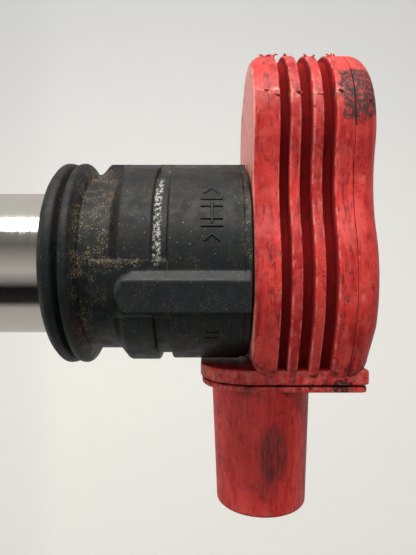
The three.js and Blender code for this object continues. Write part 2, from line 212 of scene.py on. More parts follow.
def make_pieces(name, skins, material, looped=False, sharp=32, replaces=(), body="coil", marks=None):
    """One object made of several closed skins, each a list of rings."""
    points, faces = [], []
    for rings in skins:
        first = len(points)
        points += [Vector(p) * MM for ring in rings for p in ring]
        faces += [tuple(first + i for i in face) for face in skin(rings, looped)]
    mesh = bpy.data.meshes.new(name)
    mesh.from_pydata(points, [], faces)
    mesh.shade_smooth()
    mesh.set_sharp_from_angle(angle=math.radians(sharp))
    for attribute, values in (marks or {}).items():
        layer = mesh.attributes.new(attribute, "FLOAT", "POINT")
        layer.data.foreach_set("value", [v for ring in values for v in ring])
    piece = bpy.data.objects.new(name, mesh)
    bpy.context.scene.collection.objects.link(piece)
    mesh.materials.append(material)
    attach(piece, body)
    if replaces:
        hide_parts(*replaces)
    return piece


def arc(x, y, radius, start, end, steps):
    """Points on an arc, angles in radians, both ends included."""
    angles = [start + (end - start) * i / steps for i in range(steps + 1)]
    return [(x + radius * math.cos(a), y + radius * math.sin(a)) for a in angles]


def rounded(corners, steps=4):
    """A polyline with each (x, y, radius) corner replaced by a smooth bend of about that radius."""
    path = []
    for i, (x, y, *radius) in enumerate(corners):
        here = Vector((x, y))
        radius = radius[0] if radius else 0
        if radius == 0 or i in (0, len(corners) - 1):
            path.append((x, y))
            continue
        before = (Vector(corners[i - 1][:2]) - here).normalized()
        after = (Vector(corners[i + 1][:2]) - here).normalized()
        half = before.angle(after) / 2
        reach = radius / math.tan(half)
        start, end = here + before * reach, here + after * reach
        for step in range(steps + 1):
            t = step / steps
            bend = start * (1 - t) ** 2 + here * 2 * t * (1 - t) + end * t ** 2
            path.append((bend.x, bend.y))
    return path


def circle(radius, z, steps):
    """A ring of points about the stem's axis."""
    turns = [2 * math.pi * i / steps for i in range(steps)]
    return [(radius * math.cos(a), radius * math.sin(a), z) for a in turns]


def turned(name, profile, material, node, looped=False, steps=128, body="coil"):
    """A piece turned about the stem's axis; the (radius, z) profile is listed anticlockwise."""
    rings = [circle(radius, z, steps) for radius, z in profile]
    return make_piece(name, rings, material, looped=looped, replaces=(node,), body=body)


def strand(path, radii, sides=8, across=(0, 1, 0.2)):
    """Rings of a thin bead or wire that follows a path of 3-D points, never along the across direction."""
    path = [Vector(p) for p in path]
    rings = []
    for index, (point, radius) in enumerate(zip(path, radii)):
        ahead = (path[min(index + 1, len(path) - 1)] - path[max(index - 1, 0)]).normalized()
        side = ahead.cross(Vector(across)).normalized()
        up = side.cross(ahead)
        turns = [2 * math.pi * i / sides for i in range(sides)]
        rings.append([tuple(point + side * radius * math.cos(a) - up * radius * math.sin(a)) for a in turns])
    return rings


def smoothstep(low, high, value):
    """0 at low and before it, 1 at high and past it, with a smooth rise between."""
    t = min(max((value - low) / (high - low), 0.0), 1.0)
    return t * t * (3 - 2 * t)


def bump(value, centre, half_width, fade):
    """1 inside centre +- half_width, falling smoothly to 0 over fade."""
    return 1 - smoothstep(half_width, half_width + fade, abs(value - centre))


def rough(point, scale, seed=0.0):
    """Smooth noise from -1 to 1 at a point, with a feature size of about scale."""
    return noise.noise(Vector(point) / scale + Vector((seed, seed * 1.7, -seed)))


# Materials

class Look:
    """A node material: a few helpers around one Principled shader."""

    def __init__(self, name, **sockets):
        self.material = bpy.data.materials.new(name)
        self.material.use_nodes = True
        self.nodes = self.material.node_tree.nodes
        self.links = self.material.node_tree.links
        self.shader = self.nodes["Principled BSDF"]
        self.place = self.nodes.new("ShaderNodeTexCoord").outputs["Object"]
        for socket, value in sockets.items():
            self.shader.inputs[socket.replace("_", " ")].default_value = value

    def set(self, socket, value):
        self.link(value, self.shader.inputs[socket])

    def link(self, value, socket):
        if isinstance(value, bpy.types.NodeSocket):
            self.links.new(value, socket)
        elif isinstance(value, (tuple, list)) and len(value) == 3 and socket.type == "RGBA":
            socket.default_value = (*value, 1)
        else:
            socket.default_value = value

    def stretched(self, scale):
        """The place on the object, scaled: a number above 1 shortens features along its axis."""
        node = self.nodes.new("ShaderNodeMapping")
        self.links.new(self.place, node.inputs["Vector"])
        node.inputs["Scale"].default_value = scale
        return node.outputs["Vector"]

    def noise(self, size, detail=4, scale=(1, 1, 1), roughness=0.55, distortion=0.0):
        """Noise with features about size millimetres across."""
        node = self.nodes.new("ShaderNodeTexNoise")
        self.links.new(self.stretched(scale), node.inputs["Vector"])
        node.inputs["Scale"].default_value = 1 / (size * MM)
        node.inputs["Detail"].default_value = detail
        node.inputs["Roughness"].default_value = roughness
        node.inputs["Distortion"].default_value = distortion
        return node.outputs["Fac"]

    def range(self, value, low, high, to_low=0.0, to_high=1.0):
        """A smooth step of a value between low and high."""
        node = self.nodes.new("ShaderNodeMapRange")
        node.interpolation_type = "SMOOTHSTEP"
        self.link(value, node.inputs["Value"])
        limits = {"From Min": low, "From Max": high, "To Min": to_low, "To Max": to_high}
        for socket, number in limits.items():
            node.inputs[socket].default_value = number
        return node.outputs["Result"]

    def math(self, operation, a, b=0.0):
        node = self.nodes.new("ShaderNodeMath")
        node.operation = operation
        self.link(a, node.inputs[0])
        self.link(b, node.inputs[1])
        return node.outputs[0]

    def times(self, *values):
        result = values[0]
        for value in values[1:]:
            result = self.math("MULTIPLY", result, value)
        return result

    def mix(self, factor, a, b):
        """Colour a where factor is 0, colour b where it is 1."""
        node = self.nodes.new("ShaderNodeMix")
        node.data_type = "RGBA"
        self.link(factor, node.inputs["Factor"])
        self.link(a, node.inputs["A"])
        self.link(b, node.inputs["B"])
        return node.outputs["Result"]

    def along(self, axis):
        """Distance along X, Y or Z in metres."""
        node = self.nodes.new("ShaderNodeSeparateXYZ")
        self.links.new(self.place, node.inputs[0])
        return node.outputs[axis]

    def mark(self, name):
        """A mesh attribute, 0 on pieces that don't have it."""
        node = self.nodes.new("ShaderNodeAttribute")
        node.attribute_name = name
        return node.outputs["Fac"]

    def spot(self, centre, size):
        """1 at centre, in millimetres, falling to 0 at an ellipsoid of the given half sizes."""
        offset = self.nodes.new("ShaderNodeVectorMath")
        offset.operation = "SUBTRACT"
        self.links.new(self.place, offset.inputs[0])
        offset.inputs[1].default_value = Vector(centre) * MM
        scaled = self.nodes.new("ShaderNodeVectorMath")
        scaled.operation = "DIVIDE"
        self.links.new(offset.outputs[0], scaled.inputs[0])
        scaled.inputs[1].default_value = Vector(size) * MM
        length = self.nodes.new("ShaderNodeVectorMath")
        length.operation = "LENGTH"
        self.links.new(scaled.outputs[0], length.inputs[0])
        return self.range(length.outputs["Value"], 1.0, 0.35)

    def bump(self, height, strength, distance):
        node = self.nodes.new("ShaderNodeBump")
        self.link(height, node.inputs["Height"])
        node.inputs["Strength"].default_value = strength
        node.inputs["Distance"].default_value = distance * MM
        self.links.new(node.outputs["Normal"], self.shader.inputs["Normal"])


def faded_red_with_painted_light(look, bands, streaks, worn):
    """The red itself: bands of fading, rubbed and scuffed places, painted highlights with some wear on the
    edges, a painted pale underside and painted shade deep in the grooves.
    """
    colour = look.mix(look.range(bands, 0.36, 0.64), (0.44, 0.014, 0.014), (0.70, 0.042, 0.036))
    colour = look.mix(look.times(worn, 0.4), colour, (0.80, 0.17, 0.14))
    scuffs = look.times(look.range(streaks, 0.56, 0.70), look.range(look.noise(7, 3), 0.38, 0.6), 0.4)
    colour = look.mix(scuffs, colour, (0.76, 0.17, 0.14))
    # Painted highlight with some wear: pale pink lines on the rounded rib edges, and pale chipped nicks.
    edge = look.times(look.mark("edge"), look.range(look.noise(1.5, 4), 0.42, 0.62), 0.42)
    colour = look.mix(edge, colour, (0.86, 0.32, 0.28))
    # Painted light: the underside ring is painted paler, standing in for light from the stem's side.
    colour = look.mix(look.times(look.mark("painted_underside_light"), 0.8), colour, (0.90, 0.36, 0.30))
    # Painted shade: groove floors and walls are painted near black-red, where shade falls.
    return look.mix(look.times(look.mark("depth"), 0.9), colour, (0.27, 0.001, 0.002))


def dirty_red_with_painted_shade(look, colour, bands, scrape, smear_and_painted_shade):
    """Adds stains, specks, the pale scrape, the connector's middle darkened by painted shade and dirty
    patches, and the black smears with the painted shade of the seams and corners.
    """
    stains = look.times(look.range(look.noise(2.4, 5, scale=(1, 1, 6)), 0.55, 0.67), 0.6)
    colour = look.mix(stains, colour, (0.13, 0.006, 0.007))
    specks = look.times(look.range(look.noise(0.42, 3), 0.61, 0.67), look.range(look.noise(5, 4), 0.40, 0.6))
    colour = look.mix(look.times(specks, 0.85), colour, (0.025, 0.006, 0.006))
    colour = look.mix(look.times(scrape, 0.85), colour, (0.88, 0.34, 0.24))
    # Painted shade with some dirty patches: the middle of the connector's face is painted darker.
    plug_shade_and_dirt = look.times(look.spot(*PLUG_SHADE_AND_DIRT), look.range(bands, 0.3, 0.6, 0.35, 0.6))
    colour = look.mix(plug_shade_and_dirt, colour, (0.16, 0.008, 0.008))
    # Near black: smears of rubber, and the painted shade of the seams and corners.
    return look.mix(look.times(smear_and_painted_shade, 0.93), colour, (0.016, 0.011, 0.011))


def red_plastic():
    """Sun-bleached red moulding: long streaks, rubbed edges with painted highlights, black specks, smears of
    old rubber, a painted pale underside and painted shade in its grooves and corners.
    """
    look = Look("red_moulded_plastic", IOR=1.4)
    streaks = look.noise(1.4, 5, scale=(1, 1, 7))
    bands = look.noise(9, 4, scale=(1, 1, 4.5), distortion=0.8)
    worn = look.times(look.mark("wear"), look.range(look.noise(2.2, 6, roughness=0.7), 0.44, 0.62))
    scrape = look.times(look.spot(*RIB_SCRAPE), look.range(look.noise(0.8, 4), 0.5, 0.6))
    scrape = look.times(scrape, look.math("SUBTRACT", 1.0, look.mark("depth")))
    # Rubber smears, and the dirty patches and painted shade of the seams and corners.
    smear_and_painted_shade = look.math("MAXIMUM", rubber_smear(look), seam_dirt_and_painted_shade(look))
    colour = faded_red_with_painted_light(look, bands, streaks, worn)
    look.set("Base Color", dirty_red_with_painted_shade(look, colour, bands, scrape, smear_and_painted_shade))
    gloss = look.math("ADD", look.range(look.noise(0.6, 5), 0.3, 0.7, 0.36, 0.52), look.times(worn, 0.2))
    dull = look.math("MAXIMUM", look.times(smear_and_painted_shade, 0.2), look.mark("depth"))
    look.set("Roughness", look.math("ADD", gloss, dull))
    relief = look.math("ADD", look.times(look.noise(0.35, 4), 0.35), look.times(streaks, 0.6))
    relief = look.math("ADD", relief, look.times(scrape, 1.2))
    look.bump(look.math("ADD", relief, look.times(worn, -0.4)), 0.4, 0.06)
    return look.material


def ragged_spot(look, centre, size, grain):
    """A dirty patch with a torn outline instead of the plain oval of a spot."""
    spot = look.spot(centre, size)
    torn = look.range(look.noise(grain, 5, roughness=0.7), 0.3, 0.7, -0.55, 0.35)
    patch = look.range(look.math("ADD", spot, torn), 0.05, 0.45)
    return look.times(patch, look.range(spot, 0.0, 0.2))


def rubber_smear(look):
    """Black rubber wiped onto the top rib beside the lobe, and in streaks on the connector."""
    grain = look.range(look.noise(0.7, 6, roughness=0.75), 0.38, 0.56, 0.4, 1.0)
    rib = look.times(ragged_spot(look, *RIB_SMEAR, 2.5), grain)
    lines = look.range(look.noise(3.5, 5, scale=(1, 1, 12), roughness=0.6), 0.42, 0.58, 0.45, 1.0)
    plug = look.times(look.range(look.spot(*PLUG_SMEAR), 0.0, 0.95), lines, 0.85)
    end = look.times(look.range(look.spot(*PLUG_SMEAR_END), 0.0, 0.95), lines, 0.5)
    plug = look.math("MAXIMUM", plug, end)
    return look.math("MAXIMUM", rib, plug)


def seam_dirt_and_painted_shade(look):
    """Dark patches where the ribs meet the flange and along the flange's seam, thickest near the cover: a
    grimy blob, plus dirty patches and painted shade in the corners.
    """
    blob = ragged_spot(look, *SEAM_BLOB, 1.1)
    blob = look.times(blob, look.range(look.noise(0.5, 5), 0.40, 0.52, 0.4, 1.0))
    # Dirty patches and painted shade: dark at the rib feet against the flange, in groove roots, along the
    # seam and under the connector's lip.
    dirt_and_painted_shade = look.times(look.mark("dirt_and_painted_shade"), look.range(look.noise(1.3, 5, roughness=0.65), 0.46, 0.6))
    return look.math("MAXIMUM", blob, dirt_and_painted_shade)


def black_silicone():
    """Dark rubber with a brown coating and painted light on its -X side, tan dust in its corners, white chalk
    in one recess and a painted highlight on its rims.
    """
    look = Look("black_silicone", IOR=1.38)
    cloud = look.noise(5, 4)
    colour = look.mix(cloud, (0.004, 0.008, 0.011), (0.011, 0.015, 0.018))
    # A brown coating with painted light: browner and paler towards the -X side, which faces the window.
    film_and_side_light = look.times(look.range(look.noise(3.5, 6, roughness=0.7), 0.38, 0.62), look.mark("film_and_side_light"), 0.5)
    colour = look.mix(film_and_side_light, colour, (0.034, 0.025, 0.011))
    # Painted highlight: a pale grey line on the rims of the pad, key and ridge, standing in for glints on
    # their edges.
    colour = look.mix(look.times(look.mark("rim"), 0.35), colour, (0.12, 0.12, 0.12))
    patches = look.range(look.noise(2.6, 5, roughness=0.7), 0.42, 0.6)
    dust = look.times(look.mark("dust"), patches, look.range(look.noise(0.2, 3), 0.52, 0.60))
    colour = look.mix(dust, colour, (0.42, 0.31, 0.18))
    chalk = look.times(look.mark("chalk"), look.range(look.noise(0.5, 5, roughness=0.75), 0.49, 0.56))
    colour = look.mix(look.times(chalk, 0.9), colour, (0.66, 0.64, 0.59))
    specks = look.range(look.noise(0.3, 2), 0.70, 0.73)
    colour = look.mix(look.times(specks, 0.6), colour, (0.42, 0.36, 0.28))
    look.set("Base Color", colour)
    gloss = look.range(look.noise(1.5, 5), 0.3, 0.7, 0.36, 0.56)
    gloss = look.math("ADD", gloss, look.times(look.mark("film_and_side_light"), 0.14))
    look.set("Roughness", look.math("ADD", gloss, look.times(look.math("MAXIMUM", dust, chalk), 0.3)))
    look.bump(look.math("ADD", look.noise(0.3, 4), look.times(dust, 0.7)), 0.35, 0.05)
    return look.material


def yoke_steel():
    """Bare rolled steel, near a mirror, with a light patina and fine scratches round the tube."""
    look = Look("rolled_yoke_steel", Metallic=1.0)
    grain = look.noise(0.35, 5, scale=(0.06, 0.06, 1))
    patina = look.noise(6, 4, scale=(1, 1, 0.35))
    colour = look.mix(patina, (0.88, 0.83, 0.74), (0.74, 0.71, 0.65))
    spots = look.range(look.noise(0.8, 5, roughness=0.75), 0.62, 0.72)
    colour = look.mix(look.times(spots, 0.4), colour, (0.20, 0.14, 0.09))
    look.set("Base Color", colour)
    look.set("Roughness", look.range(grain, 0.35, 0.7, 0.05, 0.16))
    look.bump(grain, 0.10, 0.01)
    return look.material


def plain_look(name, dark, light, metallic, roughness, size=1.0):
    """A quieter material for the pieces inside: mottled colour, uneven gloss and a fine grain."""
    look = Look(name, Metallic=metallic)
    look.set("Base Color", look.mix(look.noise(size * 3, 4), dark, light))
    look.set("Roughness", look.range(look.noise(size, 5), 0.3, 0.7, roughness - 0.08, roughness + 0.1))
    look.bump(look.noise(size * 0.3, 4), 0.2, 0.03)
    return look.material


RED = red_plastic()
RUBBER = black_silicone()
STEEL = yoke_steel()
TINNED = plain_look("tinned_brass", (0.50, 0.44, 0.32), (0.68, 0.63, 0.52), 1.0, 0.3)
COPPER = plain_look("enamelled_copper", (0.36, 0.10, 0.035), (0.52, 0.18, 0.07), 1.0, 0.35)
BLACK = plain_look("black_moulded_plastic", (0.010, 0.010, 0.012), (0.024, 0.024, 0.026), 0.0, 0.45)
EPOXY = plain_look("cast_epoxy", (0.020, 0.014, 0.011), (0.045, 0.032, 0.025), 0.0, 0.25)
ALUMINIUM = plain_look("bare_aluminium", (0.62, 0.63, 0.64), (0.76, 0.77, 0.78), 1.0, 0.38)
MAGNET = plain_look("sintered_magnet", (0.07, 0.07, 0.08), (0.13, 0.13, 0.14), 0.7, 0.5)
CERAMIC = plain_look("resistor_ceramic", (0.58, 0.53, 0.44), (0.74, 0.70, 0.62), 0.0, 0.6)
SPRING = plain_look("drawn_spring_wire", (0.44, 0.45, 0.47), (0.62, 0.63, 0.65), 1.0, 0.25)


# Head

def waist_centre():
    """Centre of the waist arc, which touches the lobe and the shoulder arcs from outside."""
    to_lobe = LOBE_RADIUS + WAIST_RADIUS
    to_shoulder = SHOULDER_RADIUS + WAIST_RADIUS
    dx, dy = SHOULDER[0] - LOBE_X, SHOULDER[1]
    apart = math.hypot(dx, dy)
    along = (to_lobe ** 2 - to_shoulder ** 2 + apart ** 2) / (2 * apart)
    aside = math.sqrt(to_lobe ** 2 - along ** 2)
    return LOBE_X + (along * dx - aside * dy) / apart, (along * dy + aside * dx) / apart


def head_outline(inset):
    """The head's plan outline moved inwards by inset: +Y side, round the lobe, back along -Y."""
    wx, wy = waist_centre()
    lobe_angle = math.atan2(wy, wx - LOBE_X)
    shoulder_angle = math.atan2(wy - SHOULDER[1], wx - SHOULDER[0])
    end_angle = math.acos((SHOULDER_END_X - SHOULDER[0]) / SHOULDER_RADIUS)
    shoulder = arc(*SHOULDER, SHOULDER_RADIUS - inset, end_angle, shoulder_angle, 34)
    straight_x, straight_y = shoulder[0]
    slope = 1 / math.tan(end_angle)
    corner_y = straight_y - slope * (RIB_END_X - straight_x)
    side = rounded([(RIB_END_X, 0), (RIB_END_X, corner_y, RIB_END_ROUND), shoulder[0]], 4)[1:-1]
    side += between(side[-1], shoulder[0], 12)[1:-1] + shoulder
    side += arc(wx, wy, WAIST_RADIUS + inset, shoulder_angle - math.pi, lobe_angle - math.pi, 22)[1:]
    side += arc(LOBE_X, 0, LOBE_RADIUS - inset, lobe_angle, math.pi, 44)[1:]
    return side + [(x, -y) for x, y in side[-2::-1]]


def head_profile():
    """Insets and heights up the head's wall: ribs with rounded edges and grooves with filleted roots."""
    corners = []
    for index, (low, high) in enumerate(RIBS):
        if index:
            corners += [(GROOVE_DEPTH, low, GROOVE_FILLET)]
        edge_high = PARTING_EDGE if high == PARTING_Z else RIB_EDGE
        corners += [(0, low, RIB_EDGE), (0, high, edge_high)]
        if high != PARTING_Z:
            corners += [(GROOVE_DEPTH, high, GROOVE_FILLET)]
    corners = [(UNDERSIDE_INSET, UNDERSIDE_Z, 0)] + corners + [(PARTING_LEDGE, PARTING_Z, 0)]
    return resample(rounded(corners, 5), WALL_STEP)


def between(a, b, pieces):
    """Evenly spaced points from a to b, both included."""
    return [tuple(p + (q - p) * i / pieces for p, q in zip(a, b)) for i in range(pieces + 1)]


def resample(path, step):
    """Adds points so that no stretch of a path is longer than step."""
    result = [path[0]]
    for a, b in zip(path, path[1:]):
        result += between(a, b, max(1, math.ceil(math.dist(a, b) / step)))[1:]
    return result


def corner_cut(z, radius):
    """How far a round of this radius cuts back the base rib's lower corner at a height."""
    below = max(0.0, UNDERSIDE_Z + radius - z)
    return radius - math.sqrt(max(0.0, radius ** 2 - below ** 2))


def rib_end_cut(z):
    """How far a rib's own rounded end falls back at a height; grooves have none."""
    for low, high in RIBS[1:]:
        if low <= z <= high:
            room = min(z - low, high - z, RIB_END_FALL)
            return RIB_END_FALL - math.sqrt(RIB_END_FALL ** 2 - (RIB_END_FALL - room) ** 2)
    return 0.0


def cover_end_cut(z):
    """How far the round between the head's top and its connector end falls back at a height."""
    above = max(0.0, z - (COVER_HIGH.z - COVER_END_ROUND))
    return COVER_END_ROUND - math.sqrt(max(0.0, COVER_END_ROUND ** 2 - above ** 2))


def groove_share(x, y):
    """Share of the full groove depth: grooves are shallower round the lobe's apex."""
    if x >= LOBE_X:
        return 1.0
    from_apex = abs(math.atan2(y, LOBE_X - x))
    return APEX_DEPTH_SHARE + (1 - APEX_DEPTH_SHARE) * smoothstep(0.45, 1.15, from_apex)


def nick_depth(x, y, z):
    """Depth of the small chips on the ribs' crests, 0 between them."""
    return max(0.0, rough((x, y, z * 1.6), 1.3, 3.0) - 0.45) * 0.9


def wall_point(x, y, z, depth):
    """A point of the head's wall pushed in by depth, and back from the connector by the end's rounds."""
    inwards = Vector((0, -math.copysign(1, y)))
    if x < LOBE_X:
        inwards = Vector((LOBE_X - x, -y)).normalized()
    near_end = max(0.0, 1 - (RIB_END_X - x) / END_ROUND_REACH)
    near_tip = max(0.0, 1 - (RIB_END_X - x) / RIB_TIP_REACH)
    end_cut = (corner_cut(z, LOWER_END_ROUND) + cover_end_cut(z)) * near_end + rib_end_cut(z) * near_tip
    return x - end_cut + inwards.x * depth, y + inwards.y * depth, z


def head_rings(profile, grooved=True):
    """Rings of the head's skin with marks: painted shade deep in a groove, wear, painted highlights with pale
    nicks on rib edges, a painted pale underside, and dirty patches with painted shade in corners.
    """
    crests = head_outline(0)
    rings = []
    marks = {name: [] for name in ("depth", "wear", "edge", "painted_underside_light", "dirt_and_painted_shade")}
    for inset, z in profile:
        ring = []
        values = {name: [] for name in marks}
        on_crest = 1 - smoothstep(0.0, 0.55, inset)
        edge_highlight_line = bump(inset, 0.12, 0.1, 0.14) * (inset > 0.01) * grooved
        in_root = bump(inset, GROOVE_DEPTH, 0.2, 0.6)
        outer_share = 1 - inset / UNDERSIDE_INSET
        for (x, y), (crest_x, crest_y) in zip(head_outline(inset), crests):
            if grooved and z > UNDERSIDE_Z + 1:
                share = groove_share(crest_x, crest_y)
                x, y = crest_x + (x - crest_x) * share, crest_y + (y - crest_y) * share
            hit = nick_depth(x, y, z) * on_crest
            undercut = corner_cut(z, LOBE_UNDERCUT) * smoothstep(*UNDERCUT_X, x) * outer_share
            ring.append(wall_point(x, y, z, hit + undercut))
            # Painted shade: 1 deep in a groove, where the red is painted dark.
            values["depth"].append(smoothstep(0.5, 1.6, inset) * smoothstep(UNDERSIDE_Z, 1, z) * grooved)
            values["wear"].append(min(1.0, on_crest * 0.55 + 3 * hit))
            # Painted light: 1 on the underside ring, which is painted paler as if lit from the stem's side.
            values["painted_underside_light"].append(bump(z, UNDERSIDE_Z, 0.05, 0.1))
            # Painted highlight on the rounded rib edges, plus pale chipped nicks, which are wear.
            values["edge"].append(edge_highlight_line + 0.8 * smoothstep(0.05, 0.3, hit))
            # Dirty patches and painted shade: dark where the ribs meet the flange, and less in the groove
            # roots where shade falls.
            values["dirt_and_painted_shade"].append(smoothstep(*RIB_FOOT_X, x) * 0.85 + 0.25 * in_root)
        rings.append(ring)
        for name in marks:
            marks[name].append(values[name])
    return rings, marks


def closing_rings(ring, z_of, steps):
    """Rings shrinking from an outline towards its middle line, for a flat or crowned face."""
    result = []
    for step in range(1, steps + 1):
        t = step / (steps + 1)
        result.append([(x * (1 - t) + min(max(x, LOBE_X), 6) * t, y * (1 - t), z_of(t)) for x, y, _ in ring])
    return result


def capped(rings, marks, low_z, high_z, crown, steps=6):
    """Adds flat inner rings to both ends of a skin, with the marks of the rings that they close."""
    under = closing_rings(rings[0], lambda t: low_z, steps)[::-1]
    over = closing_rings(rings[-1], lambda t: high_z + crown * smoothstep(0, 1, t), steps)
    marks = {name: [values[0]] * steps + values + [values[-1]] * steps for name, values in marks.items()}
    return under + rings + over, marks


def head_shell():
    """The ribbed grip below the parting line."""
    rings, marks = head_rings(head_profile())
    rings, marks = capped(rings, marks, UNDERSIDE_Z, PARTING_Z, 0)
    make_piece("head_shell", rings, RED, marks=marks, replaces=("head_housing",))


SLIVER_COUNT = 22
SLIVER_Z = (1.7, 13.5)
SLIVER_RADIUS = 13.8
SLIVER_ANGLE = 27
CHIPS = [(-25.1, 1.6), (-24.3, 3.1), (-24.8, 6.3), (-24.5, 9.5), (-25.0, 12.4), (-23.6, 16.6)]


def sliver_height(index):
    """Where a sliver stands along the lobe's silhouette."""
    low, high = SLIVER_Z
    return low + (high - low) * index / (SLIVER_COUNT - 1) + 0.5 * rough((index, 0, 0), 0.7)


def over_groove(z):
    """True over the open grooves, which have no crest to tear."""
    return any(high + 0.1 < z < low - 0.1 for (_, high), (low, _) in zip(RIBS, RIBS[1:]))


def sliver(index, z):
    """A sliver of plastic torn up along the lobe's silhouette, bent its own way."""
    angle = math.radians(SLIVER_ANGLE + 16 * rough((index, 5, 1), 0.8))
    start = Vector((LOBE_X - SLIVER_RADIUS * math.cos(angle), -SLIVER_RADIUS * math.sin(angle), z))
    height = 0.55 + 0.5 * rough((index, 2, 3), 0.9)
    bend = 1.8 * rough((index, 8, 2), 0.6)
    steps = (0, 0.35, 0.7, 1.0)
    path = [start + Vector((-height * math.sin(2.2 * t), -0.3 * t, bend * t * t)) for t in steps]
    return strand(path, (0.20, 0.19, 0.13, 0.04))


def chip(x, z):
    """A chip of plastic lying across a rib, beside the lobe."""
    y = -math.sqrt(LOBE_RADIUS ** 2 - (x - LOBE_X) ** 2) * (0.97 if z > PARTING_Z else 1)
    steps = (0, 0.3, 0.6, 1.0)
    path = [Vector((x + 0.3 * t * t, y - 0.06 * math.sin(3 * t), z - 0.6 + t)) for t in steps]
    return strand(path, (0.05, 0.17, 0.2, 0.05))


def frayed_edges():
    """Slivers along the lobe's silhouette, and chips across a scrape on the ribs."""
    heights = {index: sliver_height(index) for index in range(SLIVER_COUNT)}
    skins = [sliver(index, z) for index, z in heights.items() if not over_groove(z)]
    skins += [chip(x, z) for x, z in CHIPS]
    make_pieces("frayed_edges", skins, RED)


def cover_cap():
    """The cover: a crowned cap with a rounded shoulder, a shallow rim line and a sunk panel."""
    low, high = PARTING_Z + PARTING_GAP, COVER_HIGH.z - 0.15
    path = rounded([(1.4, low, 0), (0.0, low, 0.1), (0.0, high - COVER_SHOULDER + 0.1, 0.0)])
    for step in range(1, 10):
        turn = math.pi / 2 * step / 9
        path.append((COVER_SHOULDER * (1 - math.cos(turn)), high - COVER_SHOULDER * (1 - math.sin(turn))))
    path += [(3.8, high), (4.0, high - PANEL_SINK), (4.4, high - PANEL_SINK)]
    rings, marks = head_rings(resample(path, WALL_STEP), grooved=False)
    rings, marks = capped(rings, marks, low, high - PANEL_SINK, PANEL_CROWN)
    make_piece("cover_cap", rings, RED, marks=marks, replaces=("top_cover",))


# Flange and connector

def flange_outline(inset):
    """The flange's outline in (Y, Z): big corners at the lower end, small ones at the top."""
    y, low, high = FLANGE_HALF_Y - inset, FLANGE_Z[0] + inset, FLANGE_Z[1] - inset
    big, small = FLANGE_CORNERS[0] - inset * 0.5, FLANGE_CORNERS[1] - inset * 0.3
    quarter = math.pi / 2
    corners = arc(y - big, low + big, big, -quarter, 0, 14)
    corners += arc(y - small, high - small, small, 0, quarter, 8)
    corners += arc(small - y, high - small, small, quarter, 2 * quarter, 8)
    return corners + arc(big - y, low + big, big, 2 * quarter, 3 * quarter, 14)


def flange_plate(name, x_low, x_high, inset, edge_round, replaces):
    """A plate with the flange's outline and rounded edges, a painted highlight on the rounded edge, and dirty
    patches with painted shade along the seam between the two.
    """
    inner = 4
    path = [(inner, x_low, 0), (inset, x_low, edge_round), (inset, x_high, edge_round), (inner, x_high, 0)]
    path = rounded(path)
    rings = [[(x, y, z) for y, z in flange_outline(depth)] for depth, x in path]
    size = len(rings[0])
    wear = [[0.5 * bump(depth, inset, 0.15, 0.2)] * size for depth, _ in path]
    # Dirty patches over the plate, and painted shade in the seam between flange and lip.
    dirt_and_painted_shade = [[0.3 + 0.6 * bump(x, SEAM_X, 0.25, 0.5)] * size for _, x in path]
    # Painted highlight: a pale line on the plate's rounded edge.
    edge = [[0.6 * bump(depth, inset + 0.1, 0.1, 0.15)] * size for depth, _ in path]
    make_piece(name, rings, RED, marks={"wear": wear, "dirt_and_painted_shade": dirt_and_painted_shade, "edge": edge}, replaces=replaces)


def shroud_point(angle, x, thickness):
    """A point on the drafted stadium at a position along X, thickness inside its outer face."""
    t = (x - PLUG_LOW.x) / (PLUG_HIGH.x - PLUG_LOW.x)
    half_y = SHROUD_HALF[0] - SHROUD_DRAFT[0] * t - thickness
    half_z = SHROUD_HALF[1] - SHROUD_DRAFT[1] * t - thickness
    flat = half_y - half_z
    y = half_z * math.cos(angle) + math.copysign(flat, math.cos(angle)) * min(1, abs(math.cos(angle)) * 40)
    return x, y, SHROUD_Z + half_z * math.sin(angle)


def connector_shroud():
    """A hollow shroud: outer wall from the lip to the rim, then down the socket to its floor."""
    rim, lip = PLUG_HIGH.x, PLUG_LOW.x + 0.4
    outer = [(0.0, lip, 0), (0.0, rim - 0.01, 0.55)]
    socket = [(SHROUD_WALL, rim, 0.5), (SHROUD_WALL, SOCKET_FLOOR_X, 0.6), (4.5, SOCKET_FLOOR_X, 0)]
    path = resample(rounded(outer + socket, 5), 0.8)
    sides = 120
    angles = [2 * math.pi * (i + 0.5) / sides for i in range(sides)]
    rings, wear, dirt_and_painted_shade = [], [], []
    for depth, x in path:
        rings.append([shroud_point(a, x, depth) for a in angles])
        near_rim = bump(x, rim, 0.3, 0.8) * (1 - smoothstep(0.4, 1.6, depth))
        near_lip = 1 - smoothstep(0.4, 2.0, x - lip)
        wear.append([near_rim + 0.25] * sides)
        # Painted shade: dark on the shroud just under the lip, and a thin dark line at the mouth's rim.
        dirt_and_painted_shade.append([0.5 * near_lip + 0.5 * bump(x, rim, 0.1, 0.5)] * sides)
    make_piece("connector_shroud", rings, RED, marks={"wear": wear, "dirt_and_painted_shade": dirt_and_painted_shade})


def latch_ramp():
    """The ramp a plug's clip snaps over, on the shroud's +Y side."""
    back, crest, front = LATCH_X
    root, top, nose = LATCH_Y
    half, edge = LATCH_HALF_WIDTH, LATCH_EDGE
    rings = []
    for dz, fall in ((half, edge), (half - edge, 0.0), (edge - half, 0.0), (-half, edge)):
        outline = [(back, root), (back, top - fall, 0.3), (crest, top - fall, 0.3)]
        outline += [(front, nose - fall, 0.25), (front, root)]
        rings.append([(x, y, SHROUD_Z + dz) for x, y in rounded(outline)])
    make_piece("latch_ramp", rings, RED)


head_shell()
frayed_edges()
cover_cap()
flange_plate("head_flange", *FLANGE_X, 0.0, 0.35, ())
flange_plate("connector_lip", PLUG_LOW.x, PLUG_LOW.x + LIP_THICKNESS, 0.3, 0.25, ("connector_housing",))
connector_shroud()
latch_ramp()


# Seal

